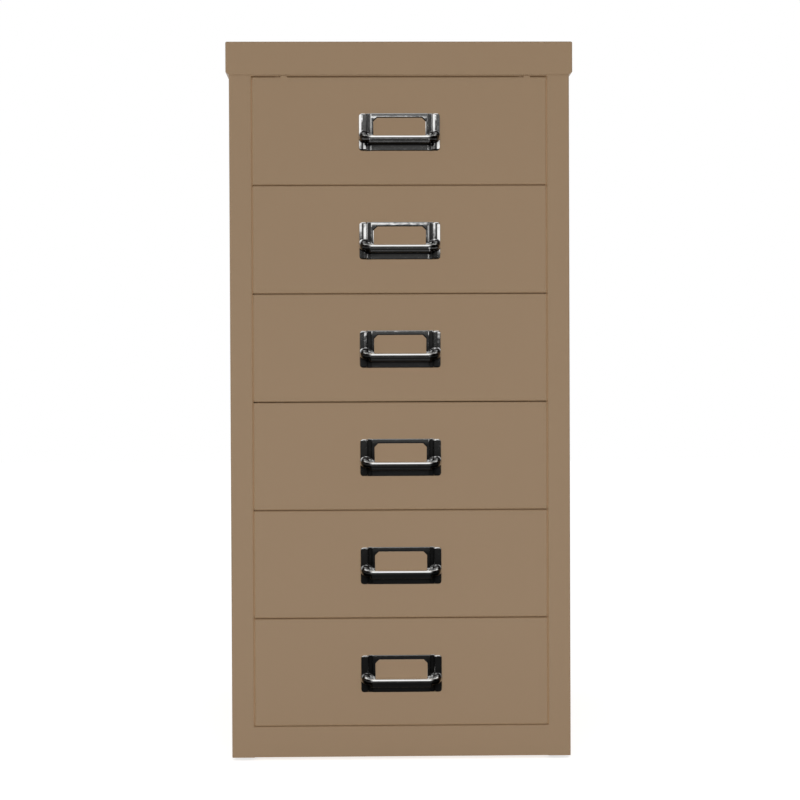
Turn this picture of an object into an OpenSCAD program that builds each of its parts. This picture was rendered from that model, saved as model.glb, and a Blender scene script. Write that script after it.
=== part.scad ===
// Desk-side cabinet with six shallow sheet-steel drawers.
// The floor is z = 0, the front faces -Y and +X is to the right as seen from the front.

/* [Cabinet] */
// Width across the two side panels
case_w = 279; // [250:1:340]
// Depth from the face of the stiles to the rear of the side panels
case_d = 380; // [320:1:440]
// Height that one drawer takes, from the middle of one gap to the next
drawer_pitch = 88.9; // [75:0.1:110]
// Height of the plinth under the bottom drawer
plinth_h = 25.5; // [20:0.1:40]
// Width of each front stile
stile_w = 18.4; // [15:0.2:24]
// Depth of the folded lips along the front opening
lip_d = 14; // [11:0.5:18]
// Width of the folded flanges at the rear corners
rear_flange = 14; // [10:0.5:20]
// Thickness of the case sheet
case_t = 0.8; // [0.6:0.1:1.2]
// Outside radius of the visible folds
fold_r = 1.3; // [1.3:0.1:2]

/* [Lid] */
// Height of the lid, from its top face to the edge of its front skirt
lid_h = 27; // [22:0.1:36]
// Height of the top rail's face that shows under the lid's front skirt
lid_reveal = 1; // [0.5:0.1:4]
// How far the lid stands out past each side panel
lid_overhang = 2.7; // [2.2:0.1:4]
// Height of the slope that turns the side skirts in to the panels
lid_slope_h = 2.2; // [1.5:0.1:4]

/* [Base] */
// How far the rubber feet stand out below the case
foot_proud = 2.5; // [1.5:0.1:5]
// Diameter of a rubber foot
foot_d = 18; // [14:1:24]
// Distance from the side panels to the middle of a foot
foot_inset = 24; // [20:1:34]
// Height of the folded edge round the base pan
base_flange = 12; // [8:1:18]

/* [Drawers] */
// Gap between one drawer front and the next
drawer_gap = 0.7; // [0.6:0.1:1.4]
// Gap over the top drawer front
top_gap = 0.9; // [0.8:0.1:1.6]
// Gap under the bottom drawer front
plinth_gap = 0.4; // [0.3:0.1:1]
// Gap on each side of a drawer front
side_gap = 0.4; // [0.3:0.1:1]
// Depth of the folded drawer front
front_d = 14; // [11:0.5:18]
// Width of the flanges round the back of the drawer front
front_return = 12; // [10:0.5:16]
// Thickness of the drawer sheet
drawer_t = 0.8; // [0.6:0.1:1]
// Length of a glide's buffer behind the tray
glide_end = 9.3; // [8:0.1:20]
// Clear space between the drawer front's upper edge and the top of the rim
rim_drop = 9; // [7:0.5:14]
// Width of the rim that the tray hangs by
rim_w = 8.5; // [7:0.1:10]
// Height of the rim, down to the edge that slides
rim_h = 5; // [4:0.1:6]
// Space left under the tray
tray_lift = 3.6; // [3:0.1:8]
// Outside radius of the tray's corners
tray_r = 2; // [1.5:0.1:3]

/* [Runners] */
// Height of the stiffening lips of a runner
runner_lip = 4; // [3:0.1:5]
// Distance from the runner's front end to its stop tab
stop_setback = 40; // [20:1:80]
// Thickness of the runner sheet
runner_t = 0.8; // [0.7:0.1:1.2]
// Length of a nylon glide along the rim
glide_l = 26; // [18:1:40]
// How far a glide's ear stands out past the rim
glide_ear = 6; // [5:0.1:8]

/* [Handle] */
// Width of the handle plate
handle_w = 67; // [56:0.5:90]
// Height of the handle plate
handle_h = 30.8; // [28:0.2:38]
// How far the grip stands out from the drawer front
handle_proud = 10; // [9:0.5:14]
// Distance of the handle's middle below the middle of the drawer front
handle_drop = 1.2; // [0:0.1:6]
// Width of the rounded ear at each end
ear_w = 6.6; // [5:0.1:9]
// Thickness of the ears
ear_t = 2.6; // [2.4:0.1:3.4]
// Width of the groove between an ear and the card frame
groove_w = 3; // [2:0.1:4]
// Thickness of the card frame
frame_t = 2; // [1.8:0.1:2.4]
// Width of the card frame beside its window
frame_side = 2.65; // [2:0.05:4]
// Height of the card frame above its window
frame_top = 3.9; // [3:0.1:6]
// Height of the window, down to the top of the grip
window_h = 14; // [10:0.1:16]
// Height of the grip
grip_h = 7.6; // [7:0.1:9]
// Outside radius of the grip's front edge
grip_r = 4.5; // [4:0.1:6]
// Radius of the bends at the ends of the grip
grip_turn_r = 7.5; // [6:0.1:8]
// Wall thickness of the grip
grip_t = 1.7; // [1.4:0.1:2.2]
// Diameter of the screws that hold the handle
screw_d = 3; // [2.5:0.1:3.5]

/* [Hidden] */
$fn = 48;

drawer_count = 6;

// Clearances
run_clear = 0.3;      // under a sliding edge, and behind a glide at its stop
tilt_clear = 0.9;     // over the rim, inside the runner
guide_clear = 0.9;    // between the tray's side and the runner's lips
tab_clear = 2.5;      // beside the rim where it passes the stop tab
nib_clear = 0.4;      // between a nib and the rail above it
seat_clear = 0.05;    // round a stem or a screw in its hole
hole_clear = 0.25;    // round a screw where it passes through sheet
past = 1;             // how far a cutting shape runs past what it cuts
lap = 1;              // how far two shapes of one piece run into each other
eps = 0.01;           // overlap that makes a cut clean

// Heights
case_z = foot_proud;
plinth_top = case_z + plinth_h;
cells_top = plinth_top + plinth_gap - drawer_gap / 2 + drawer_count * drawer_pitch;
opening_top = cells_top - drawer_gap / 2 + top_gap;
lid_bottom = opening_top + lid_reveal;
case_top = lid_bottom + lid_h;
function cell_top(k) = cells_top - (k - 1) * drawer_pitch;
function cell_mid(k) = cell_top(k) - drawer_pitch / 2;
front_h = drawer_pitch - drawer_gap;

// Front to back: the outline from the grip to the lid's rear skirt is centred on y = 0
y_front = (handle_proud - case_d - case_t) / 2;
y_rear = y_front + case_d;
y_lip = y_front + lip_d;
y_back_panel = y_rear - 2 * case_t;
y_tray = y_front + front_d;

// Left to right, as half widths
side_half = case_w / 2;
inner_half = side_half - case_t;
back_half = side_half - fold_r;
open_half = side_half - stile_w;
front_half = open_half - side_gap;
front_past_rim = 0.6;
rim_half = front_half - front_past_rim;
tray_half = rim_half - rim_w;
lid_half = side_half + lid_overhang;

// Drawer rim and runner heights, measured down from the top of a drawer's space
rim_edge_drop = rim_drop + rim_h;
runner_floor_drop = rim_edge_drop + run_clear;
runner_roof_drop = rim_drop - tilt_clear;
rim_flat = 1;
tray_wall_drop = rim_drop + fold_r + rim_flat;

// Runner ends
runner_front = y_lip + run_clear;
runner_rear = y_back_panel;
glide_rear = runner_rear - runner_t - run_clear;
y_tray_end = glide_rear - glide_end;
tray_l = y_tray_end - y_tray;
buffer_proud = 1;     // of a glide's end behind the tray's rear rim
rear_rim_w = glide_end - buffer_proud + drawer_t;
ear_out = rim_half + glide_ear;
ear_l = 12;
stop_tab_y = runner_front + stop_setback;

// Handle
base_t = 1;           // plate that joins the ears to the frame
base_set_in = 0.8;    // of that plate's edges from the handle's own
ear_r = 2.2;
frame_edge_r = 0.8;
frame_half = handle_w / 2 - ear_w - groove_w;
window_half = frame_half - frame_side;
window_top = handle_h / 2 - frame_top;
window_corner = 2.9;
pocket_d = 1.2;       // room for a card and its cover behind the frame
pocket_edge = 0.6;
pocket_half = frame_half - pocket_edge;
grip_top = window_top - window_h;
grip_bottom = grip_top - grip_h;
grip_end_inset = 1.2;
grip_half = handle_w / 2 - grip_end_inset;
grip_end_r = 2.8;
grip_turn_x = grip_half - grip_turn_r;
grip_turn_y = handle_proud - grip_turn_r;
grip_web = 0.4;
finger_half = frame_half - grip_web;
screw_from_end = 4.2;
screw_under_top = 3;
screw_x = grip_half - screw_from_end;
screw_z = grip_top - screw_under_top;
screw_grip = 4.6;
screw_tip_clear = 0.6;
screw_hole_l = screw_grip + screw_tip_clear;
screw_head_d = screw_d * 1.9;
screw_head_h = screw_d * 0.6;

// Feet and nibs
foot_stem_d = 6;
foot_head_d = 9;
foot_head_h = 2;
foot_edge = 1;
foot_head_taper = 1.5;
foot_gap = 5;         // between the plinth's tail and the front feet
base_z = case_z + case_t;
plinth_tail = 8;
plinth_lip = 8;
nib_inset = 21.2;
nib_x = front_half - nib_inset;
nib_w = 5;
nib_h = top_gap - nib_clear;

paint = [0.576, 0.486, 0.392];
bright = [0.82, 0.83, 0.85];
zinc = [0.62, 0.62, 0.6];
nylon = [0.9, 0.9, 0.87];
rubber = [0.09, 0.09, 0.09];

function unit(v) = v / norm(v);
function cross2(a, b) = a[0] * b[1] - a[1] * b[0];
function heading(v) = atan2(v[1], v[0]);
function tightness(d0, d1) = tan(acos(max(-1, min(1, d0 * d1))) / 2);
function left_of(v) = [-v[1], v[0]];

// A folded strip of sheet seen end on. The path runs along the middle of the sheet,
// and r is the outside radius of every fold.
module folded_strip(path, t, r) {
    mid_r = r - t / 2;
    last = len(path) - 1;
    dirs = [for (i = [0 : last - 1]) unit(path[i + 1] - path[i])];
    trims = [for (i = [0 : last]) i == 0 || i == last ? 0 : mid_r * tightness(dirs[i - 1], dirs[i])];
    for (i = [0 : last - 1])
        translate(path[i] + dirs[i] * trims[i])
            rotate(heading(dirs[i]))
                translate([0, -t / 2])
                    square([norm(path[i + 1] - path[i]) - trims[i] - trims[i + 1], t]);
    for (i = [1 : last - 1])
        fold(path[i], dirs[i - 1], dirs[i], trims[i], mid_r, t);
}

// One fold of a strip: the part of a ring between two straight stretches.
module fold(corner, d0, d1, trim, mid_r, t) {
    side = cross2(d0, d1) > 0 ? 1 : -1;
    centre = corner - d0 * trim + left_of(d0) * side * mid_r;
    reach = 2;
    intersection() {
        translate(centre)
            difference() {
                circle(mid_r + t / 2);
                circle(mid_r - t / 2);
            }
        polygon([
            centre,
            centre + (corner - d0 * trim - centre) * reach,
            centre + (corner - centre) * reach,
            centre + (corner + d1 * trim - centre) * reach
        ]);
    }
}

// A block that stands on z = 0 with its upper edges and its corners rounded.
module soft_block(w, d, h, r) {
    for (size = [[w - 2 * r, d, h - r], [w, d - 2 * r, h - r], [w - 2 * r, d - 2 * r, h]])
        translate([-size[0] / 2, -size[1] / 2, 0])
            cube(size);
    for (sx = [-1, 1], sy = [-1, 1])
        translate([sx * (w / 2 - r), sy * (d / 2 - r), 0]) {
            cylinder(r = r, h = h - r);
            translate([0, 0, h - r])
                sphere(r);
        }
    for (sx = [-1, 1])
        translate([sx * (w / 2 - r), d / 2 - r, h - r])
            rotate([90, 0, 0])
                cylinder(r = r, h = d - 2 * r);
    for (sy = [-1, 1])
        translate([-w / 2 + r, sy * (d / 2 - r), h - r])
            rotate([0, 90, 0])
                cylinder(r = r, h = w - 2 * r);
}

// A 2D outline drawn in X and Z, run from y0 to y1.
module along_y(y0, y1) {
    translate([0, y1, 0])
        rotate([90, 0, 0])
            linear_extrude(y1 - y0)
                children();
}

// A 2D outline drawn in Y and Z, run from x0 to x1.
module along_x(x0, x1) {
    translate([x0, 0, 0])
        rotate([90, 0, 90])
            linear_extrude(x1 - x0)
                children();
}

// ---- Case ----

// Half of the lid's end view: a straight skirt that slopes in to the side panel.
module lid_end_view(inset) {
    slope = norm([lid_overhang, lid_slope_h]) / lid_overhang;
    half = lid_half - inset;
    z_slope_in = lid_bottom + inset * slope;
    z_slope_out = z_slope_in + (half - side_half) * lid_slope_h / lid_overhang;
    polygon([
        [-half, case_top], [half, case_top], [half, z_slope_out],
        [side_half, z_slope_in], [side_half, lid_bottom - inset],
        [-side_half, lid_bottom - inset], [-side_half, z_slope_in], [-half, z_slope_out]
    ]);
}

module lid_solid(inset) {
    intersection() {
        translate([0, (y_front + y_rear) / 2, lid_bottom - past])
            soft_block(2 * (lid_half - inset), case_d + 2 * (case_t - inset),
                lid_h + past - inset, fold_r - inset);
        along_y(y_front - past - case_t, y_rear + past + case_t)
            lid_end_view(inset);
    }
}

module lid() {
    color(paint)
        difference() {
            lid_solid(0);
            lid_solid(case_t);
        }
}

// Side panel with its stile, opening lip and rear flange, all folded from one sheet. Beside the
// plinth the stile has no lip, so that the two meet edge to edge in one flush face.
module side_panel() {
    half_t = case_t / 2;
    stile_flat = open_half + fold_r;
    color(paint) {
        translate([0, 0, case_z])
            linear_extrude(case_top - case_t - case_z)
                folded_strip([
                    [stile_flat, y_front + half_t],
                    [side_half - half_t, y_front + half_t],
                    [side_half - half_t, y_rear - half_t],
                    [side_half - rear_flange, y_rear - half_t]
                ], case_t, fold_r);
        translate([0, 0, plinth_top])
            linear_extrude(case_top - case_t - plinth_top)
                folded_strip([
                    [open_half + half_t, y_lip],
                    [open_half + half_t, y_front + half_t],
                    [stile_flat + lap, y_front + half_t]
                ], case_t, fold_r);
        translate([open_half, y_front, case_z])
            cube([fold_r + lap, case_t, plinth_top - case_z]);
    }
}

// Back sheet, spot-welded inside the rear flanges, with its upper edge folded in under the lid.
module back_panel() {
    half_t = case_t / 2;
    color(paint)
        along_x(-back_half, back_half)
            folded_strip([
                [y_back_panel + half_t, case_z],
                [y_back_panel + half_t, case_top - case_t - half_t],
                [y_back_panel - base_flange, case_top - case_t - half_t]
            ], case_t, fold_r);
}

foot_x = side_half - foot_inset;
foot_y = [y_lip + plinth_tail + foot_gap + foot_d / 2, y_back_panel - foot_inset];

// Floor of the case, a shallow tray with its edges folded up and a hole for each foot.
module base_pan() {
    depth = y_back_panel - y_lip;
    color(paint)
        difference() {
            translate([0, y_lip + depth / 2, base_z + base_flange])
                rotate([180, 0, 0])
                    difference() {
                        soft_block(2 * inner_half, depth, base_flange, fold_r);
                        translate([0, 0, -eps])
                            soft_block(2 * (inner_half - case_t), depth - 2 * case_t,
                                base_flange - case_t + eps, fold_r - case_t);
                    }
            for (sx = [-1, 1], y = foot_y)
                translate([sx * foot_x, y, base_z - past])
                    cylinder(d = foot_stem_d, h = case_t + 2 * past);
        }
}

// Front rail under the bottom drawer, folded to a hook above and a long foot below.
module plinth() {
    half_t = case_t / 2;
    color(paint)
        along_x(-open_half, open_half)
            folded_strip([
                [y_lip - half_t, plinth_top - plinth_lip],
                [y_lip - half_t, plinth_top - half_t],
                [y_front + half_t, plinth_top - half_t],
                [y_front + half_t, case_z + half_t],
                [y_lip + plinth_tail, case_z + half_t]
            ], case_t, fold_r);
}

// Channel behind the lid's front skirt, over the top drawer.
module top_rail() {
    half_t = case_t / 2;
    color(paint)
        along_x(-open_half, open_half)
            folded_strip([
                [y_lip - half_t, opening_top + plinth_lip],
                [y_lip - half_t, opening_top + half_t],
                [y_front + half_t, opening_top + half_t],
                [y_front + half_t, case_top - case_t - half_t],
                [y_lip, case_top - case_t - half_t]
            ], case_t, fold_r);
}

// Push-in rubber foot, turned about its own axis.
module foot() {
    neck_r = foot_stem_d / 2 - seat_clear;
    rotate_extrude()
        polygon([
            [0, 0], [foot_d / 2 - foot_edge, 0], [foot_d / 2, foot_edge], [foot_d / 2, base_z],
            [neck_r, base_z], [neck_r, base_z + case_t], [foot_head_d / 2, base_z + case_t],
            [foot_head_d / 2 - foot_head_taper, base_z + case_t + foot_head_h],
            [0, base_z + case_t + foot_head_h]
        ]);
}

module feet() {
    color(rubber)
        for (sx = [-1, 1], y = foot_y)
            translate([sx * foot_x, y, 0])
                foot();
}

// Runner channel for the right side of drawer k, with a stop tab at the back and one near the front.
module runner(k) {
    half_t = runner_t / 2;
    x_lip = tray_half + guide_clear + half_t;
    x_web = inner_half - half_t;
    z_roof = cell_top(k) - runner_roof_drop;
    z_floor = cell_top(k) - runner_floor_drop;
    color(paint) {
        along_y(runner_front, runner_rear)
            folded_strip([
                [x_lip, z_roof + runner_t + runner_lip],
                [x_lip, z_roof + half_t],
                [x_web, z_roof + half_t],
                [x_web, z_floor - half_t],
                [x_lip, z_floor - half_t],
                [x_lip, z_floor - runner_t - runner_lip]
            ], runner_t, runner_t * 1.5);
        for (tab = [[stop_tab_y, rim_half + tab_clear], [runner_rear - runner_t, x_lip + half_t]])
            along_y(tab[0], tab[0] + runner_t)
                translate([tab[1], z_floor - half_t])
                    square([x_web - tab[1], z_roof - z_floor + runner_t]);
    }
}

// ---- Drawers ----

// Tray hung from its rim: a pressed box with its side and rear edges folded out and down.
module tray(k) {
    z_floor = cell_top(k) - drawer_pitch + tray_lift;
    z_wall = cell_top(k) - tray_wall_drop;
    z_rim = cell_top(k) - rim_drop;
    z_edge = cell_top(k) - rim_edge_drop;
    wall_h = z_wall - z_floor;
    color(paint)
        difference() {
            union() {
                translate([0, y_tray + tray_l / 2, z_wall])
                    rotate([180, 0, 0])
                        difference() {
                            soft_block(2 * tray_half, tray_l, wall_h, tray_r);
                            translate([0, 0, -eps])
                                soft_block(2 * (tray_half - drawer_t), tray_l - 2 * drawer_t,
                                    wall_h - drawer_t + eps, tray_r - drawer_t);
                        }
                for (side = [0, 1])
                    mirror([side, 0, 0])
                        along_y(y_tray + tray_r, y_tray_end - tray_r)
                            rim_section(tray_half, z_rim, z_edge, z_wall);
                along_x(-tray_half + tray_r, tray_half - tray_r)
                    rim_section(y_tray_end, z_rim, z_edge, z_wall, rear_rim_w);
            }
            handle_holes(k, screw_d / 2 + hole_clear);
        }
}

// End view of the rim: up from the wall, outwards, and down to the sliding edge.
module rim_section(wall_at, z_rim, z_edge, z_wall, width = rim_w) {
    half_t = drawer_t / 2;
    folded_strip([
        [wall_at - half_t, z_wall - lap],
        [wall_at - half_t, z_rim - half_t],
        [wall_at + width - half_t, z_rim - half_t],
        [wall_at + width - half_t, z_edge]
    ], drawer_t, fold_r);
}

// Nylon end cap on the rim: a tongue inside the rim, a buffer behind it and an ear outside it.
module glide(k) {
    z_edge = cell_top(k) - rim_edge_drop;
    z_under = cell_top(k) - rim_drop - drawer_t;
    rim_end = y_tray_end - tray_r;
    tongue_x = tray_half + seat_clear;
    tongue_w = rim_w - drawer_t - 2 * seat_clear;
    tongue_top = z_under - seat_clear;
    bevel = fold_r - drawer_t;
    color(nylon) {
        along_y(rim_end - glide_l, rim_end + lap)
            polygon([
                [tongue_x, z_edge], [tongue_x + tongue_w, z_edge],
                [tongue_x + tongue_w, tongue_top - bevel], [tongue_x + tongue_w - bevel, tongue_top],
                [tongue_x + bevel, tongue_top], [tongue_x, tongue_top - bevel]
            ]);
        translate([tongue_x, rim_end + seat_clear, z_edge])
            cube([ear_out - tongue_x, glide_rear - rim_end - seat_clear, rim_h]);
        translate([rim_half + seat_clear, rim_end - ear_l, z_edge])
            cube([ear_out - rim_half - seat_clear, ear_l + lap, rim_h]);
    }
}

// Drawer front: a shallow folded pan with return flanges at the back.
module drawer_front(k) {
    inner_w = 2 * (front_half - drawer_t);
    inner_h = front_h - 2 * drawer_t;
    back_w = 2 * (front_half - front_return);
    back_h = front_h - 2 * front_return;
    color(paint)
        difference() {
            union() {
                translate([0, y_tray, cell_mid(k)])
                    rotate([90, 0, 0])
                        difference() {
                            soft_block(2 * front_half, front_h, front_d, fold_r);
                            translate([0, 0, drawer_t])
                                soft_block(inner_w, inner_h, front_d - 2 * drawer_t, fold_r - drawer_t);
                            translate([-back_w / 2, -back_h / 2, -eps])
                                cube([back_w, back_h, drawer_t + 2 * eps]);
                        }
                if (k == 1)
                    nibs(k);
            }
            handle_holes(k, screw_d / 2 + hole_clear);
        }
}

// Two low round nibs on the upper edge of the top drawer front.
module nibs(k) {
    nib_r = (nib_w * nib_w / 4 + nib_h * nib_h) / (2 * nib_h);
    z_edge = cell_top(k) - drawer_gap / 2;
    for (sx = [-1, 1])
        intersection() {
            along_y(y_front + fold_r, y_front + fold_r + drawer_t * 2)
                translate([sx * nib_x, z_edge + nib_h - nib_r])
                    circle(nib_r);
            translate([sx * nib_x - nib_w, y_front, z_edge - drawer_t])
                cube([2 * nib_w, front_d, drawer_t + nib_h + past]);
        }
}

module handle_holes(k, r) {
    for (sx = [-1, 1])
        translate([sx * screw_x, y_tray + drawer_t + past, handle_z(k) + screw_z])
            rotate([90, 0, 0])
                cylinder(r = r, h = front_d + drawer_t + 2 * past);
}

function handle_z(k) = cell_mid(k) - handle_drop;

// ---- Handle ----

// End view of the grip in depth (X) and height (Y): a hood that curls over and down.
module grip_section(inset) {
    r = grip_r - inset;
    front = handle_proud - inset;
    top = grip_top - inset;
    difference() {
        union() {
            translate([0, top - r])
                square([front - r, r]);
            translate([front - r, top - r])
                circle(r);
            translate([0, grip_bottom - inset])
                square([front, top - r - grip_bottom + inset]);
        }
        translate([-past, grip_bottom - inset - 2 * r])
            square([front + 2 * past, 2 * r]);
    }
}

// Outline of the grip as seen from the front: its ends are round and less tall.
module grip_outline() {
    for (sx = [-1, 1])
        translate([sx * (grip_half - grip_end_r), grip_top - grip_end_r])
            circle(grip_end_r);
    polygon([
        [-grip_half + grip_end_r, grip_top], [grip_half - grip_end_r, grip_top],
        [grip_half - grip_end_r, grip_top - 2 * grip_end_r], [grip_turn_x, grip_bottom],
        [-grip_turn_x, grip_bottom], [-grip_half + grip_end_r, grip_top - 2 * grip_end_r]
    ]);
}

// The solid that the grip is cut from: straight in the middle and bent back at both ends.
module grip_solid() {
    along_x(-grip_turn_x, grip_turn_x)
        mirror([1, 0])
            grip_section(0);
    for (side = [0, 1])
        mirror([side, 0, 0]) {
            translate([grip_turn_x, -grip_turn_y, 0])
                rotate([0, 0, -90])
                    rotate_extrude(angle = 90)
                        grip_end_section();
            along_y(-grip_turn_y, 0)
                translate([grip_turn_x, 0])
                    grip_end_section();
        }
}

// The part of the grip's end view that lies outside the centre of its bend.
module grip_end_section() {
    intersection() {
        translate([-grip_turn_y, 0])
            grip_section(0);
        translate([0, grip_bottom])
            square([grip_turn_r, grip_h]);
    }
}

// Card frame window, down to the top of the grip, with its two upper corners cut off.
module window_outline() {
    polygon([
        [-window_half, grip_top], [window_half, grip_top],
        [window_half, window_top - window_corner], [window_half - window_corner, window_top],
        [-window_half + window_corner, window_top], [-window_half, window_top - window_corner]
    ]);
}

// Ears, card frame and the thin plate that joins them, lying on z = 0.
module handle_plate() {
    soft_block(2 * frame_half, handle_h, frame_t, frame_edge_r);
    for (sx = [-1, 1])
        translate([sx * (handle_w - ear_w) / 2, 0, 0])
            intersection() {
                soft_block(ear_w, handle_h, ear_t, ear_r);
                translate([-ear_w, -handle_h, 0])
                    cube([2 * ear_w, 2 * handle_h, 2 * ear_t]);
            }
    translate([-handle_w / 2 + base_set_in, -handle_h / 2 + base_set_in, 0])
        cube([handle_w - 2 * base_set_in, handle_h - 2 * base_set_in, base_t]);
}

// Cast handle, drawn with its back on y = 0 and its plate centred on the origin.
module handle_body() {
    difference() {
        union() {
            rotate([90, 0, 0])
                handle_plate();
            intersection() {
                grip_solid();
                along_y(-handle_proud - past, 0)
                    grip_outline();
            }
        }
        along_y(-handle_proud - past, past)
            window_outline();
        translate([-pocket_half, -pocket_d, grip_top])
            cube([2 * pocket_half, pocket_d + past, handle_h]);
        finger_space();
        for (sx = [-1, 1])
            translate([sx * screw_x, past, screw_z])
                rotate([90, 0, 0])
                    cylinder(r = screw_d / 2 + seat_clear, h = screw_hole_l + past);
    }
}

// Hollow under the grip, where the fingers go.
module finger_space() {
    intersection() {
        along_x(-finger_half, finger_half)
            mirror([1, 0])
                grip_section(grip_t);
        translate([-finger_half, -handle_proud, grip_bottom - grip_t])
            cube([2 * finger_half, handle_proud - frame_t, grip_h]);
    }
}

module handle(k) {
    color(bright)
        translate([0, y_front, handle_z(k)])
            handle_body();
}

// Pan-head screw from inside the tray, with a cross recess.
module screw(k, sx) {
    recess_w = screw_d * 0.22;
    recess_l = screw_d * 0.95;
    translate([sx * screw_x, y_tray + drawer_t, handle_z(k) + screw_z])
        rotate([-90, 0, 0])
            difference() {
                union() {
                    translate([0, 0, -front_d - drawer_t - screw_grip])
                        cylinder(d = screw_d, h = front_d + drawer_t + screw_grip + eps);
                    cylinder(d1 = screw_head_d, d2 = screw_head_d * 0.8, h = screw_head_h);
                }
                for (turn = [0, 90])
                    rotate(turn)
                        translate([-recess_l / 2, -recess_w / 2, screw_head_h / 2])
                            cube([recess_l, recess_w, screw_head_h]);
            }
}

module screws(k) {
    color(zinc)
        for (sx = [-1, 1])
            screw(k, sx);
}

module both_glides(k) {
    for (side = [0, 1])
        mirror([side, 0, 0])
            glide(k);
}

// ---- Nodes ----

lid();
mirror([1, 0, 0]) side_panel();  // side_left
side_panel();  // side_right
back_panel();
base_pan();
plinth();
top_rail();
feet();
for (k = [1 : drawer_count]) {
    mirror([1, 0, 0]) runner(k);
    runner(k);
    drawer_front(k);
    tray(k);
    both_glides(k);
    handle(k);
    screws(k);
}
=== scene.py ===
"""Looks of the small drawer cabinet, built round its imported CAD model. Lengths are in metres, apart
from those of the handles and the nibs, which are in millimetres."""

import math

import bpy
import numpy as np
from mathutils import Matrix, Vector

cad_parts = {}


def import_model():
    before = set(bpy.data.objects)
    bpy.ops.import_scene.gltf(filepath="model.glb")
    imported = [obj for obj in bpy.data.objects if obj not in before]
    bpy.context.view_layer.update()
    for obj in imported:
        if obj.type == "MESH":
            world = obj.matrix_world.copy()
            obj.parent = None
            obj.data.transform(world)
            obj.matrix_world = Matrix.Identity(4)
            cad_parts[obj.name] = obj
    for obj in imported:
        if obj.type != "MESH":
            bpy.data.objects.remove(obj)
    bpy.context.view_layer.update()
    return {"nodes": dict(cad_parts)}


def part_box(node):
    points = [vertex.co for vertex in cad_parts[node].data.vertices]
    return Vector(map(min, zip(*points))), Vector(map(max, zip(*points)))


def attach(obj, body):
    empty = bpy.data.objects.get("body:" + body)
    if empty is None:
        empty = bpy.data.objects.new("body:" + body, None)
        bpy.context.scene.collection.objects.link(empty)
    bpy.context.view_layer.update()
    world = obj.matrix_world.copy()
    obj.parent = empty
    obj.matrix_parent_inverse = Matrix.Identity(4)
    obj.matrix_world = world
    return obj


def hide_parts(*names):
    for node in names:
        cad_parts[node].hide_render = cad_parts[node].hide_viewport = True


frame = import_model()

MM = 0.001
DRAWERS = range(1, 7)
SIDES = ("left", "right")
nodes = frame["nodes"]


# ---- Node trees ----

WHITE = (1, 1, 1, 1)
AO_SAMPLES = 8


def linear(*srgb):
    """A colour given as 0-255 sRGB numbers, as the linear one that a shader socket takes."""
    value = [c / 255 for c in srgb]
    return [c / 12.92 if c <= 0.04045 else ((c + 0.055) / 1.055) ** 2.4 for c in value] + [1.0]


def shade_of(colour, factor):
    return [c * factor for c in colour[:3]] + [1.0]


class Tree:
    """Short calls for building one node tree."""

    def __init__(self, owner):
        owner.use_nodes = True
        self.nodes = owner.node_tree.nodes
        self.links = owner.node_tree.links
        self.nodes.clear()

    def node(self, kind, inputs=None, **settings):
        made = self.nodes.new(kind)
        for key, value in settings.items():
            setattr(made, key, value)
        for key, value in (inputs or {}).items():
            self.feed(made.inputs[key], value)
        return made

    def feed(self, socket, value):
        """Links the socket to another one, or sets it to a constant."""
        if isinstance(value, bpy.types.NodeSocket):
            self.links.new(value, socket)
        else:
            socket.default_value = value

    def math(self, operation, a, b=0.0):
        return self.node("ShaderNodeMath", {0: a, 1: b}, operation=operation).outputs[0]

    def times(self, first, *others):
        """The product of all the values."""
        for other in others:
            first = self.math("MULTIPLY", first, other)
        return first

    def less(self, mask, share):
        """One, less that share of it where the mask is one."""
        return self.math("SUBTRACT", 1.0, self.math("MULTIPLY", mask, share))

    def span(self, value, low, high, to_low=0.0, to_high=1.0, smooth=False):
        """value, moved from the span low..high to the span to_low..to_high."""
        inputs = {"Value": value, "From Min": low, "From Max": high, "To Min": to_low, "To Max": to_high}
        kind = "SMOOTHSTEP" if smooth else "LINEAR"
        return self.node("ShaderNodeMapRange", inputs, interpolation_type=kind).outputs[0]

    def mix(self, factor, a, b):
        made = self.node("ShaderNodeMix", data_type="RGBA")
        for name, value in (("Factor", factor), ("A", a), ("B", b)):
            self.feed([s for s in made.inputs if s.name == name and s.enabled][0], value)
        return [s for s in made.outputs if s.enabled][0]

    def parts(self, coordinates):
        """X, Y and Z of those texture coordinates."""
        vector = self.node("ShaderNodeTexCoord").outputs[coordinates]
        return self.node("ShaderNodeSeparateXYZ", {0: vector}).outputs

    def openness(self, reach):
        """One on an open face, and less the more of its surroundings lies within reach."""
        return self.node("ShaderNodeAmbientOcclusion", {"Distance": reach}, samples=AO_SAMPLES).outputs["AO"]

    def noise(self, scale, detail=2.0, stretch=None):
        """Noise of the object's own coordinates, with that many features in a metre."""
        place = self.node("ShaderNodeTexCoord").outputs["Object"]
        if stretch:
            place = self.node("ShaderNodeMapping", {"Vector": place, "Scale": stretch}).outputs[0]
        inputs = {"Vector": place, "Scale": scale, "Detail": detail}
        return self.node("ShaderNodeTexNoise", inputs).outputs["Fac"]

    def bump(self, height, depth, strength):
        inputs = {"Height": height, "Distance": depth, "Strength": strength}
        return self.node("ShaderNodeBump", inputs).outputs[0]

    def surface(self, **inputs):
        """The Principled shader and the output. An underscore in a name stands for a space."""
        shader = self.node("ShaderNodeBsdfPrincipled", {k.replace("_", " "): v for k, v in inputs.items()})
        self.node("ShaderNodeOutputMaterial", {"Surface": shader.outputs[0]})


# ---- Paint ----

PAINT = linear(149, 124, 96)
PAINT_DARKEST, PAINT_LIGHTEST = 0.985, 1.015
PAINT_ROUGHNESS = (0.42, 0.5)
# Features in a metre
PAINT_MOTTLE, PAINT_SHEEN, PAINT_GRAIN = 7.0, 60.0, 900.0
STEEL = [0.42, 0.42, 0.41, 1.0]
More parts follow.
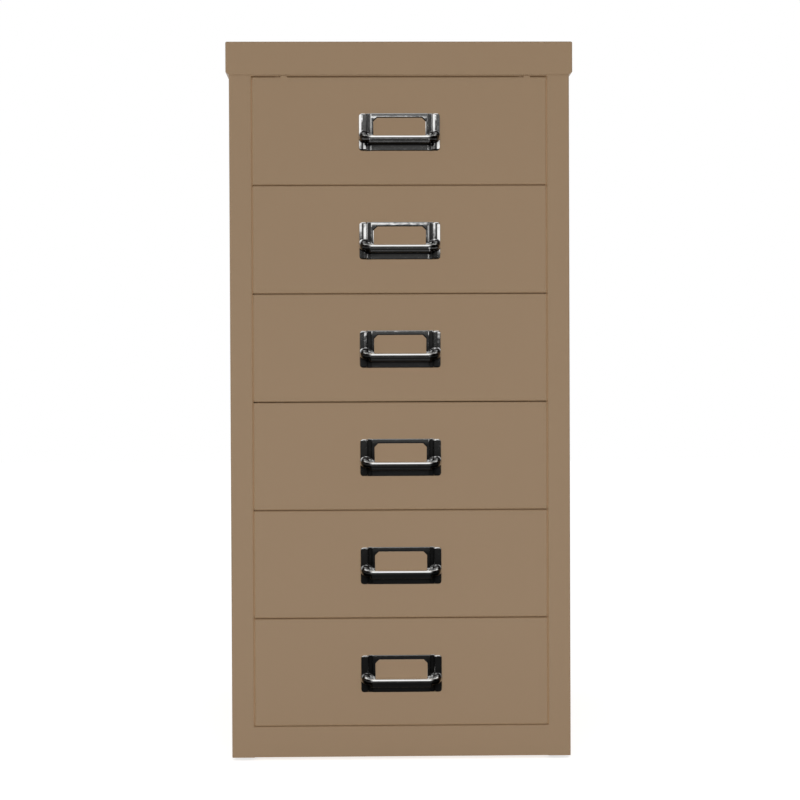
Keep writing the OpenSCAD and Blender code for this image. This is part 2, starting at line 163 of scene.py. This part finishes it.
# Most of what a noise gives lies in this span
NOISE_MIDDLE = (0.3, 0.7)
# Streaks along the way that a drawer runs: features in a metre across, along and up
SCUFFS = (900, 14, 900)
SCUFF_SPAN = (0.58, 0.72)
SCUFF_LIGHTNESS = 1.5
SCUFF_POLISH = 0.3
WEAR = (1200, 9, 1200)
WEAR_SPAN = (0.4, 0.6)
WEAR_FACES_UP = (0.8, 0.95)
WEAR_POLISH = 0.15
# The narrow gaps, lit by a painted glow: how near the face across them is, and how much painted light is
# given to those above and below a drawer front and to those at its sides
GAP_REACH = 0.0025
GAP_POWER = 2.0
GAP_LIGHT = (0.25, 0.7)
GAP_FACES_SIDEWAYS = (0.2, 0.8)


def paint(name, scuff=0.0, worn=False, painted_gap_glow=False):
    """Semi-matt stoved enamel. scuff adds fine rubbing marks along the way a drawer runs, and worn
    bares the steel on the faces that a drawer slides on. The last option paints light into the narrow gaps
    round the drawer fronts as a glow, more at their sides than above and below, to what light passed on
    inside them would give."""
    material = bpy.data.materials.new(name)
    t = Tree(material)
    mottle = t.noise(PAINT_MOTTLE)
    colour = t.mix(mottle, shade_of(PAINT, PAINT_DARKEST), shade_of(PAINT, PAINT_LIGHTEST))
    roughness = t.span(t.noise(PAINT_SHEEN), *NOISE_MIDDLE, *PAINT_ROUGHNESS)
    normal = t.bump(t.noise(PAINT_GRAIN, detail=1.0), depth=0.00002, strength=0.35)
    metallic = 0.0
    glow = 0.0
    if scuff:
        marks = t.span(t.noise(1.0, detail=4.0, stretch=SCUFFS), *SCUFF_SPAN, 0.0, scuff)
        colour = t.mix(marks, colour, shade_of(PAINT, SCUFF_LIGHTNESS))
        roughness = t.math("SUBTRACT", roughness, t.times(marks, SCUFF_POLISH))
    if worn:
        streaks = t.span(t.noise(1.0, detail=5.0, stretch=WEAR), *WEAR_SPAN)
        metallic = t.times(t.span(t.parts("Normal")["Z"], *WEAR_FACES_UP), streaks)
        colour = t.mix(metallic, colour, STEEL)
        roughness = t.math("SUBTRACT", roughness, t.times(metallic, WEAR_POLISH))
    # Painted light: a glow in the narrow gaps round the drawer fronts
    if painted_gap_glow:
        sideways = t.math("ABSOLUTE", t.parts("Normal")["X"])
        closed = t.math("POWER", t.math("SUBTRACT", 1.0, t.openness(GAP_REACH)), GAP_POWER)
        glow = t.times(closed, t.span(sideways, *GAP_FACES_SIDEWAYS, *GAP_LIGHT))
    t.surface(Base_Color=colour, Roughness=roughness, Metallic=metallic, Normal=normal,
              Emission_Color=PAINT, Emission_Strength=glow)
    return material


# ---- Bright plating ----
# Shade is painted into its colour in some places. Each pair below says where such painted shade starts and
# where it is full, by the object's own normal (FACES: its Z, or for TURNED the size of its X) or by the way
# from the middle of the handle's back in metres. A _SHARE is how much of its brightness the painted shade
# takes away there.

CHROME_COLOURS = (0.9, 0.9, 0.89, 1), (0.95, 0.95, 0.94, 1)
# The colour of the shade painted on the plating
CHROME_PAINTED_SHADE = (0.012, 0.011, 0.01, 1)
CHROME_ROUGHNESS = (0.045, 0.1)
CHROME_MOTTLE, CHROME_SHEEN, CHROME_WAVES = 90.0, 350.0, 160.0
CHROME_SHEEN_SPAN = (0.35, 0.75)
# Painted shade deep between other faces and on undersides
CREVICE_REACH = 0.008
CREVICE_POWER = 2.2
UNDERSIDE_FACES = (-0.3, -0.6)
UNDERSIDE_LEFT = 0.15
GRIP_OUT = (-0.0029, -0.0035)
# Painted shade on the turned ends of the grip
TURNED_FACES = (0.06, 0.25)
TURNED_SHARE = 0.94
# Painted shade on the grip's front, from its middle up to the foot of its highlight
FRONT_FACES_FROM = (0.02, 0.05)
FRONT_FACES_TO = (0.32, 0.27)
FRONT_SHARE = 0.75
# Painted shade where the grip meets the ears
JOINT_ACROSS = (0.0255, 0.0275)
JOINT_UP = (0.0014, 0.0002)
JOINT_FACES = (0.06, 0.16)
JOINT_SHARE = 0.75
# Faces that look up more and more lose the painted shade again
TOP_FACES = (0.75, 0.9)


def plating_painted_shade(t):
    """Painted shade for the plating: one where it is left bright and zero where shade is painted on it: deep
    between other faces, on undersides, on the turned ends and the front of the grip, and where the grip meets
    the ears."""
    facing, place = t.parts("Normal"), t.parts("Object")
    up = facing["Z"]
    on_grip = t.span(place["Y"], *GRIP_OUT)
    below = t.span(up, *UNDERSIDE_FACES, 1.0, UNDERSIDE_LEFT)
    turned = t.times(on_grip, t.span(t.math("ABSOLUTE", facing["X"]), *TURNED_FACES))
    front = t.times(on_grip, t.span(up, *FRONT_FACES_FROM), t.span(up, *FRONT_FACES_TO))
    joints = t.times(t.span(t.math("ABSOLUTE", place["X"]), *JOINT_ACROSS),
                     t.span(place["Z"], *JOINT_UP), t.span(up, *JOINT_FACES))
    left = t.times(t.math("POWER", t.openness(CREVICE_REACH), CREVICE_POWER), below,
                   t.less(turned, TURNED_SHARE), t.less(front, FRONT_SHARE), t.less(joints, JOINT_SHARE))
    return t.math("MAXIMUM", left, t.span(up, *TOP_FACES))


def chrome():
    """Bright plating on a casting, with the faint waves that the casting leaves in it, and with shade painted
    into its colour in crevices, on undersides, on the grip's turned ends and front and where the grip meets
    the ears.
    """
    material = bpy.data.materials.new("bright_plating")
    t = Tree(material)
    colour = t.mix(plating_painted_shade(t), CHROME_PAINTED_SHADE, t.mix(t.noise(CHROME_MOTTLE), *CHROME_COLOURS))
    roughness = t.span(t.noise(CHROME_SHEEN, detail=3.0), *CHROME_SHEEN_SPAN, *CHROME_ROUGHNESS)
    waves = t.bump(t.noise(CHROME_WAVES, detail=1.0), depth=0.00012, strength=0.5)
    t.surface(Base_Color=colour, Roughness=roughness, Metallic=1.0, Normal=waves)
    return material


# ---- Small parts ----

def plain(name, colours, mottle, sheen, roughness, grain, depth, strength, **more):
    """Two close colours in mottles, an uneven sheen and a fine grain. mottle is the noise's scale and
    detail, sheen and grain are scales."""
    material = bpy.data.materials.new(name)
    t = Tree(material)
    t.surface(Base_Color=t.mix(t.noise(*mottle), *colours),
              Roughness=t.span(t.noise(sheen), *NOISE_MIDDLE, *roughness),
              Normal=t.bump(t.noise(grain), depth, strength), **more)
    return material


def zinc():
    return plain("zinc_plating", colours=((0.5, 0.5, 0.47, 1), (0.66, 0.66, 0.64, 1)), mottle=(700.0, 3.0),
                 sheen=500.0, roughness=(0.3, 0.45), grain=1500.0, depth=0.00001, strength=0.4, Metallic=1.0)


def nylon():
    return plain("natural_nylon", colours=((0.76, 0.75, 0.69, 1), (0.83, 0.82, 0.77, 1)),
                 mottle=(120.0, 3.0), sheen=400.0, roughness=(0.4, 0.55), grain=1200.0, depth=0.00001,
                 strength=0.5, Subsurface_Weight=0.1, Subsurface_Scale=0.002)


def rubber():
    return plain("black_rubber", colours=((0.012, 0.012, 0.012, 1), (0.03, 0.029, 0.028, 1)),
                 mottle=(300.0, 4.0), sheen=250.0, roughness=(0.7, 0.9), grain=1800.0, depth=0.00003,
                 strength=0.6)


# ---- CAD nodes ----

SHARP_FROM = math.radians(32)
CASE = ("lid", "side_left", "side_right", "back_panel", "base_pan", "plinth", "top_rail")


def dress(material, names):
    """Gives CAD nodes that material and smooth shading, and leaves their meshes as they are."""
    for name in names:
        mesh = nodes[name].data
        mesh.materials.clear()
        mesh.materials.append(material)
        mesh.shade_smooth()
        mesh.set_sharp_from_angle(angle=SHARP_FROM)


case_paint = paint("case_enamel", painted_gap_glow=True)
tray_paint = paint("tray_enamel", scuff=0.35)
runner_paint = paint("runner_enamel", worn=True)
bright = chrome()

dress(case_paint, CASE)
dress(rubber(), ["feet"])
dress(runner_paint, [f"runner_{k}_{side}" for k in DRAWERS for side in SIDES])
dress(case_paint, [f"drawer_{k}_front" for k in DRAWERS])
dress(tray_paint, [f"drawer_{k}_tray" for k in DRAWERS])
dress(nylon(), [f"drawer_{k}_glides" for k in DRAWERS])
dress(zinc(), [f"drawer_{k}_screws" for k in DRAWERS])


# ---- Handles ----
# A handle is one casting whose parts flow into each other, so it is written as the distance from its
# surface and meshed from that. All sizes in this part are in millimetres, from the handle's middle:
# x across, d out from the drawer front, z up. _R is a radius, _T a thickness and _BLEND the width over
# which two faces flow into each other.

handle_low, handle_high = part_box("drawer_1_handle")
HALF_W = (handle_high.x - handle_low.x) / 2 / MM
HALF_H = (handle_high.z - handle_low.z) / 2 / MM
PROUD = (handle_high.y - handle_low.y) / MM

CORNER_R = 3.2
PLATE_EDGE_R = 0.4
PLATE_BLEND = 0.5
BASE_T = 0.7
EAR_W = 6.6
EAR_T = 2.9
EAR_DOME_R = 6.0
EAR_BARREL_R = 700.0
EAR_EDGE_R = 0.9
EAR_END_R = 1.4
GROOVE_W = 3.2
FRAME_HALF = HALF_W - EAR_W - GROOVE_W
FRAME_T = 2.1
FRAME_SIDE_R = 0.7
FRAME_END_R = 0.5
# The card frame's upper strip leans back more and more from this height on
LEAN_Z = 10.5
LEAN_R = 60.0
WINDOW_HALF = FRAME_HALF - 2.45
WINDOW_TOP = HALF_H - 3.9
WINDOW_CUT = 2.9
WINDOW_BLEND = 0.8
# The slot for the card, behind the frame
POCKET_T = 1.2
POCKET_WALL = 0.6
# The grip: a rod from ear to ear, and below it the front of the hood between the ears
GRIP_TOP = WINDOW_TOP - 14.6
GRIP_T = 1.7
GRIP_BLEND = 1.2
ROD_END = HALF_W - 1.4
ROD_BOTTOM = GRIP_TOP - 5.0
ROD_TOP_R = 3.2
ROD_UNDER_R = 0.8
ROD_END_R = 1.6
ROD_NARROWS_FROM, ROD_NARROWS_TO = ROD_END - 4, ROD_END - 1
HOOD_HALF = FRAME_HALF + 1.6
HOOD_BOTTOM = GRIP_TOP - 7.0
HOOD_BACK = 0.12
HOOD_LAP = 1
HOOD_UNDER_R = 0.5
HOOD_END_R = 1.5
# From here outwards the rod bends back towards the ears, and its blend with them grows
BEND_FROM = 22.5
BEND_R = 10.0
EAR_BLEND = 4.5
EAR_BLEND_FROM, EAR_BLEND_TO = 21.5, 27.5
HOLLOW_R = 1.5
HOLLOW_END_BLEND = 0.8
HOLLOW_RIM_BLEND = 0.6

# How the surface is meshed: the grid's step, how often its points are moved to the surface, the least
# slope (squared) that they are moved by, how far the differences for slopes and normals reach, and the
# shortest normal that is brought to length one
NET_STEP = 0.42
NET_MOVES = 6
LEAST_SLOPE = 0.05
SLOPE_REACH = 0.02
NORMAL_REACH = 0.06
SHORTEST_NORMAL = 1e-9


def smooth_min(a, b, k):
    h = np.clip(0.5 + 0.5 * (b - a) / k, 0, 1)
    return b + (a - b) * h - k * h * (1 - h)


def smooth_max(a, b, k):
    return -smooth_min(-a, -b, k)


def rounded_corner(u, v, r):
    """Where two faces at distances u and v meet in an edge of radius r."""
    u, v = u + r, v + r
    return np.minimum(np.maximum(u, v), 0) + np.hypot(np.maximum(u, 0), np.maximum(v, 0)) - r


def ease(value, low, high):
    t = np.clip((value - low) / (high - low), 0, 1)
    return t * t * (3 - 2 * t)


def ear(x, d, z):
    """The domed ear at each end."""
    across = np.abs(x - HALF_W + EAR_W / 2)
    dome = d - EAR_T + across ** 2 / (2 * EAR_DOME_R) + z ** 2 / (2 * EAR_BARREL_R)
    dome = rounded_corner(across - EAR_W / 2, dome, EAR_EDGE_R)
    return rounded_corner(np.abs(z) - HALF_H, dome, EAR_END_R)


def card_frame(x, d, z):
    """The frame between the grooves, still without its window."""
    lean = np.maximum(z - LEAN_Z, 0) ** 2 / (2 * LEAN_R)
    frame_front = rounded_corner(x - FRAME_HALF, d - FRAME_T + lean, FRAME_SIDE_R)
    return rounded_corner(np.abs(z) - HALF_H, frame_front, FRAME_END_R)


def plate(x, d, z):
    """The ears, the card frame and the base that joins them, with the window and the card's slot."""
    outline = rounded_corner(x - HALF_W, np.abs(z) - HALF_H, CORNER_R)
    flat = smooth_min(d - BASE_T, card_frame(x, d, z), PLATE_BLEND)
    flat = rounded_corner(outline, smooth_min(flat, ear(x, d, z), PLATE_BLEND), PLATE_EDGE_R)
    corner = (x + z - WINDOW_HALF - WINDOW_TOP + WINDOW_CUT) / math.sqrt(2)
    window = np.maximum(np.maximum(x - WINDOW_HALF, z - WINDOW_TOP), np.maximum(corner, GRIP_TOP - z))
    pocket = np.maximum(np.maximum(x - FRAME_HALF + POCKET_WALL, d - POCKET_T), GRIP_TOP - z)
    return np.maximum(smooth_max(flat, -window, WINDOW_BLEND), -pocket)


def grip(x, d, z):
    """The rod with its ends bent back, and the hood below it."""
    top_r = ROD_TOP_R - (ROD_TOP_R - ROD_END_R) * ease(x, ROD_NARROWS_FROM, ROD_NARROWS_TO)
    bend = np.maximum(x - BEND_FROM, 0) ** 2 / (2 * BEND_R)
    rod = rounded_corner(rounded_corner(x - ROD_END, z - GRIP_TOP, CORNER_R), d - PROUD + bend, top_r)
    rod = rounded_corner(rounded_corner(x - ROD_END, ROD_BOTTOM - z, CORNER_R), rod, ROD_UNDER_R)
    hood = rounded_corner(x - HOOD_HALF, d - PROUD + HOOD_BACK, HOOD_END_R)
    hood = np.maximum(rounded_corner(HOOD_BOTTOM - z, hood, HOOD_UNDER_R), z - ROD_BOTTOM - HOOD_LAP)
    return np.minimum(rod, hood)


def hollow(x, d, z):
    """The space for the finger tips behind the grip."""
    inside = rounded_corner(z - GRIP_TOP + GRIP_T, d - PROUD + HOOD_BACK + GRIP_T, HOLLOW_R)
    return smooth_max(inside, np.maximum(x - HOOD_HALF + GRIP_T, FRAME_T - d), HOLLOW_END_BLEND)


def handle_distance(p):
    """Distance of points from the handle's surface, below zero inside it."""
    x, d, z = np.abs(p[..., 0]), p[..., 1], p[..., 2]
    growth = (EAR_BLEND - GRIP_BLEND) * ease(x, EAR_BLEND_FROM, EAR_BLEND_TO)
    blend = GRIP_BLEND + growth * ease(z, ROD_BOTTOM, GRIP_TOP)
    body = smooth_min(plate(x, d, z), grip(x, d, z), blend)
    body = smooth_max(body, -hollow(x, d, z), HOLLOW_RIM_BLEND)
    return np.maximum(body, -d)


def slopes(distance, points, reach):
    """Gradient of the distance at each point."""
    steps = np.eye(3) * reach
    return np.stack([distance(points + s) - distance(points - s) for s in steps], -1) / (2 * reach)


def net_quads(inside, index):
    """One quad round each edge of the grid that the surface crosses, from the points of its four cells."""
    quads = []
    for axis in range(3):
        here = np.moveaxis(inside, axis, 0)
        cells = np.moveaxis(index, axis, 0)
        for solid_below in (True, False):
            change = (here[:-1] & ~here[1:]) if solid_below else (~here[:-1] & here[1:])
            i, j, k = np.nonzero(change[:, 1:-1, 1:-1])
            ring = [cells[i, j, k], cells[i, j + 1, k], cells[i, j + 1, k + 1], cells[i, j, k + 1]]
            quads.append(np.stack(ring if solid_below != (axis == 1) else ring[::-1], -1))
    return np.concatenate(quads)


def surface_net(distance, low, high, step):
    """Points and quads of the surface where the distance is zero: one point in each cell of a grid that
    the surface passes through, moved onto the surface."""
    axes = [np.arange(a, b + step, step) for a, b in zip(low, high)]
    inside = distance(np.stack(np.meshgrid(*axes, indexing="ij"), -1)) < 0
    count = sum(inside[i:i - 1 or None, j:j - 1 or None, k:k - 1 or None].astype(int)
                for i in (0, 1) for j in (0, 1) for k in (0, 1))
    crossed = (count > 0) & (count < 8)
    index = np.full(crossed.shape, -1)
    index[crossed] = np.arange(crossed.sum())
    points = np.array(low) + (np.argwhere(crossed) + 0.5) * step
    for _ in range(NET_MOVES):
        slope = slopes(distance, points, SLOPE_REACH)
        move = distance(points) / np.maximum((slope ** 2).sum(-1), LEAST_SLOPE)
        points = points - slope * np.clip(move, -step, step)[:, None]
    return points, net_quads(inside, index)


def handle_mesh():
    """The casting's mesh, with normals taken from the distance."""
    margin = 2 * NET_STEP
    low = (-HALF_W - margin, -margin, -HALF_H - margin)
    high = (HALF_W + margin, PROUD + margin, HALF_H + margin)
    points, quads = surface_net(handle_distance, low, high, NET_STEP)
    normals = slopes(handle_distance, points, NORMAL_REACH)
    normals /= np.maximum(np.linalg.norm(normals, axis=-1, keepdims=True), SHORTEST_NORMAL)
    # From x, d, z to x, y, z: the drawer front faces -Y. The mirroring turns the quads round.
    turn = np.array(((1, 0, 0), (0, -1, 0), (0, 0, 1)), float)
    mesh = bpy.data.meshes.new("cast_handle")
    mesh.from_pydata((points @ turn * MM).tolist(), [], quads[:, ::-1].tolist())
    mesh.shade_smooth()
    mesh.normals_split_custom_set_from_vertices((normals @ turn).tolist())
    mesh.materials.append(bright)
    return mesh


casting = handle_mesh()
for k in DRAWERS:
    low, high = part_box(f"drawer_{k}_handle")
    piece = bpy.data.objects.new(f"drawer_{k}_pull", casting)
    bpy.context.scene.collection.objects.link(piece)
    piece.location = (0, high.y, (low.z + high.z) / 2)
    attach(piece, f"drawer_{k}")
    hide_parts(f"drawer_{k}_handle")
    # Bright metal throws back about as much light as it keeps out, so the paint round it isn't shaded
    piece.visible_diffuse = False


# ---- Nibs ----
# The two pressed nibs on the top drawer's upper edge nearly fill the gap under the rail in the picture.
# The outline is given from a nib's middle and from the front's upper edge, which lies NIB_EDGE below the
# top of the CAD nibs.

NIB_MIDDLES = (-94.5, 104.7)
NIB_OUTLINE = ((-2.7, -1.4), (2.7, -1.4), (2.7, 0.2), (2.55, 0.55), (2.2, 0.78),
               (-2.2, 0.78), (-2.55, 0.55), (-2.7, 0.2))
NIB_FRONT, NIB_BACK = -0.06, 0.9
NIB_EDGE = 0.5


def nibs():
    """Both nibs as one mesh, in metres."""
    points, faces = [], []
    n = len(NIB_OUTLINE)
    for middle in NIB_MIDDLES:
        first = len(points)
        points += [((middle + x) * MM, y * MM, z * MM) for y in (NIB_FRONT, NIB_BACK) for x, z in NIB_OUTLINE]
        faces += [tuple(first + i for i in range(n)), tuple(first + n + i for i in reversed(range(n)))]
        faces += [(first + i, first + n + i, first + n + (i + 1) % n, first + (i + 1) % n) for i in range(n)]
    mesh = bpy.data.meshes.new("nibs")
    mesh.from_pydata(points, [], faces)
    mesh.materials.append(case_paint)
    return mesh


front_low, front_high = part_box("drawer_1_front")
piece = bpy.data.objects.new("drawer_1_nibs", nibs())
bpy.context.scene.collection.objects.link(piece)
piece.location = (0, front_low.y, front_high.z - NIB_EDGE * MM)
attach(piece, "drawer_1")


# ---- Floor ----

FLOOR_HALF = 5.0
FLOOR_COLOURS = (0.8, 0.8, 0.8, 1), (0.83, 0.83, 0.83, 1)
# The light that the floor gives off, as the case gets it and as the camera sees it
FLOOR_GLOW = 0.45
FLOOR_LIFT = 0.7


def floor_material():
    """Pale matt floor that keeps shadows. The camera sees it lifted to the white of the background."""
    material = bpy.data.materials.new("studio_floor")
    t = Tree(material)
    seen = t.node("ShaderNodeLightPath").outputs["Is Camera Ray"]
    matt = t.node("ShaderNodeBsdfDiffuse", {"Color": t.mix(t.noise(3.0), *FLOOR_COLOURS)}).outputs[0]
    lift = t.span(seen, 0.0, 1.0, FLOOR_GLOW, FLOOR_LIFT)
    glow = t.node("ShaderNodeEmission", {"Strength": lift}).outputs[0]
    both = t.node("ShaderNodeAddShader", {0: matt, 1: glow}).outputs[0]
    t.node("ShaderNodeOutputMaterial", {"Surface": both})
    return material


def floor():
    """The studio's floor, a large square that bright metal doesn't mirror."""
    corners = [(sx * FLOOR_HALF, sy * FLOOR_HALF, 0) for sx, sy in ((-1, -1), (1, -1), (1, 1), (-1, 1))]
    mesh = bpy.data.meshes.new("studio_floor")
    mesh.from_pydata(corners, [], [(0, 1, 2, 3)])
    mesh.materials.append(floor_material())
    made = bpy.data.objects.new("studio_floor", mesh)
    bpy.context.scene.collection.objects.link(made)
    made.visible_glossy = False


# ---- World ----

AMBIENT = 0.44
# The dark part of the mirrored studio: (place, level) up a ramp over that span of a direction's Z
RAMP_SPAN = (-0.2, 0.8)
RAMP_STOPS = ((0.0, 0.008), (0.1, 0.01), (0.2, 0.022), (0.27, 0.045), (0.33, 0.065), (0.4, 0.13),
              (0.47, 0.15), (0.53, 0.05), (0.8, 0.04))
# Its white part lies behind the cabinet, over that span of a direction's Y
WHITE_BEHIND = (0.0, 0.25)
# Its white panels, each by the X and the Z of the directions that it takes up. The four numbers are
# where it starts, is full, starts to fade and is gone.
STUDIO_PANELS = {
    "overhead": ((-0.6, -0.45, 0.45, 0.6), (0.65, 0.71, 1.2, 1.3)),
    "left": ((-1.3, -1.2, -0.4, -0.25), (0.07, 0.12, 0.4, 0.6)),
    "right": ((0.12, 0.3, 1.2, 1.3), (0.04, 0.07, 0.11, 0.13)),
    "low_strip": ((-0.6, -0.4, 0.01, 0.05), (0.155, 0.18, 0.2, 0.225)),
}


def band(t, value, start, full, fade, gone):
    """One where the value lies between full and fade, and zero outside start and gone."""
    return t.times(t.span(value, start, full, smooth=True), t.span(value, gone, fade, smooth=True))


def studio(t):
    """The colour that bright metal mirrors in each direction."""
    way = t.parts("Generated")
    ramp = t.node("ShaderNodeValToRGB", {0: t.span(way["Z"], *RAMP_SPAN)})
    stops = ramp.color_ramp.elements
    while len(stops) < len(RAMP_STOPS):
        stops.new(0.5)
    for stop, (position, level) in zip(stops, RAMP_STOPS):
        stop.position = position
        stop.color = (level, level, level, 1)
    lit = t.span(way["Y"], *WHITE_BEHIND, smooth=True)
    for across, along in STUDIO_PANELS.values():
        panel = t.times(band(t, way["X"], *across), band(t, way["Z"], *along))
        lit = t.math("MAXIMUM", lit, panel)
    return t.mix(lit, ramp.outputs[0], WHITE)


def world():
    """Plain ambient light, a white background, and the studio for reflections."""
    made = bpy.data.worlds.new("studio")
    bpy.context.scene.world = made
    t = Tree(made)
    seen = t.node("ShaderNodeLightPath").outputs
    plain_light = t.node("ShaderNodeBackground", {"Color": WHITE, "Strength": AMBIENT}).outputs[0]
    mirrored = t.node("ShaderNodeBackground", {"Color": studio(t), "Strength": 1.0}).outputs[0]
    white = t.node("ShaderNodeBackground", {"Color": WHITE, "Strength": 1.0}).outputs[0]
    indirect = t.node("ShaderNodeMixShader", {0: seen["Is Glossy Ray"], 1: plain_light, 2: mirrored})
    direct = t.math("MAXIMUM", seen["Is Camera Ray"], seen["Is Transmission Ray"])
    out = t.node("ShaderNodeMixShader", {0: direct, 1: indirect.outputs[0], 2: white}).outputs[0]
    t.node("ShaderNodeOutputWorld", {"Surface": out})


# ---- Lamps ----

FRONT_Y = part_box("drawer_1_front")[0].y


def softbox(name, place, target, size, level):
    """A rectangular lamp of that radiance, turned to the target. Both places are given from the floor
    below the drawer fronts, and size is (across, up). Bright metal mirrors the studio in its place."""
    place, target = (Vector((x, FRONT_Y + y, z)) for x, y, z in (place, target))
    data = bpy.data.lights.new(name, "AREA")
    data.shape = "RECTANGLE"
    data.size, data.size_y = size
    data.energy = level * size[0] * size[1] * math.pi
    made = bpy.data.objects.new(name, data)
    bpy.context.scene.collection.objects.link(made)
    made.location = place
    made.rotation_euler = (target - place).to_track_quat("-Z", "Y").to_euler()
    made.visible_camera = False
    made.visible_glossy = False


floor()
world()
softbox("overhead", place=(0, -0.85, 2.0), target=(0, -0.85, 0), size=(1.7, 1.5), level=0.5)
softbox("left", place=(-1.75, -1.2, 0.9), target=(0, 0, 0.4), size=(0.7, 1.6), level=0.7)
softbox("right", place=(1.75, -0.9, 0.8), target=(0, 0, 0.4), size=(0.5, 1.3), level=0.6)
softbox("front", place=(0, -2.4, 0.15), target=(0, 0, 0.1), size=(2.4, 1.2), level=2.3)
softbox("low", place=(0, -0.42, 0.04), target=(0, 0, 0.02), size=(1.0, 0.06), level=1.3)


# ---- Camera ----
# Found by fitting the case's edges and the gaps between drawers to the photograph.

CAMERA_PLACE = (-0.0281, FRONT_Y - 1.5, 0.3168)
CAMERA_YAW = math.radians(1.060)
CAMERA_PITCH = math.radians(-0.786)
CAMERA_ROLL = math.radians(-0.228)
CAMERA_FOCUS_PX = 1826.4
PHOTO_WIDTH_PX = 800
SENSOR_MM = 36.0


def camera():
    forward = Vector((math.sin(CAMERA_YAW) * math.cos(CAMERA_PITCH),
                      math.cos(CAMERA_YAW) * math.cos(CAMERA_PITCH), math.sin(CAMERA_PITCH)))
    level_right = Vector((math.cos(CAMERA_YAW), -math.sin(CAMERA_YAW), 0))
    level_up = level_right.cross(forward)
    right = level_right * math.cos(CAMERA_ROLL) + level_up * math.sin(CAMERA_ROLL)
    up = level_up * math.cos(CAMERA_ROLL) - level_right * math.sin(CAMERA_ROLL)
    data = bpy.data.cameras.new("camera")
    data.sensor_width = SENSOR_MM
    data.lens = CAMERA_FOCUS_PX * SENSOR_MM / PHOTO_WIDTH_PX
    made = bpy.data.objects.new("camera", data)
    bpy.context.scene.collection.objects.link(made)
    turn = Matrix((right, up, -forward)).transposed()
    made.matrix_world = Matrix.Translation(CAMERA_PLACE) @ turn.to_4x4()
    bpy.context.scene.camera = made


camera()
bpy.context.scene.view_settings.view_transform = "Standard"
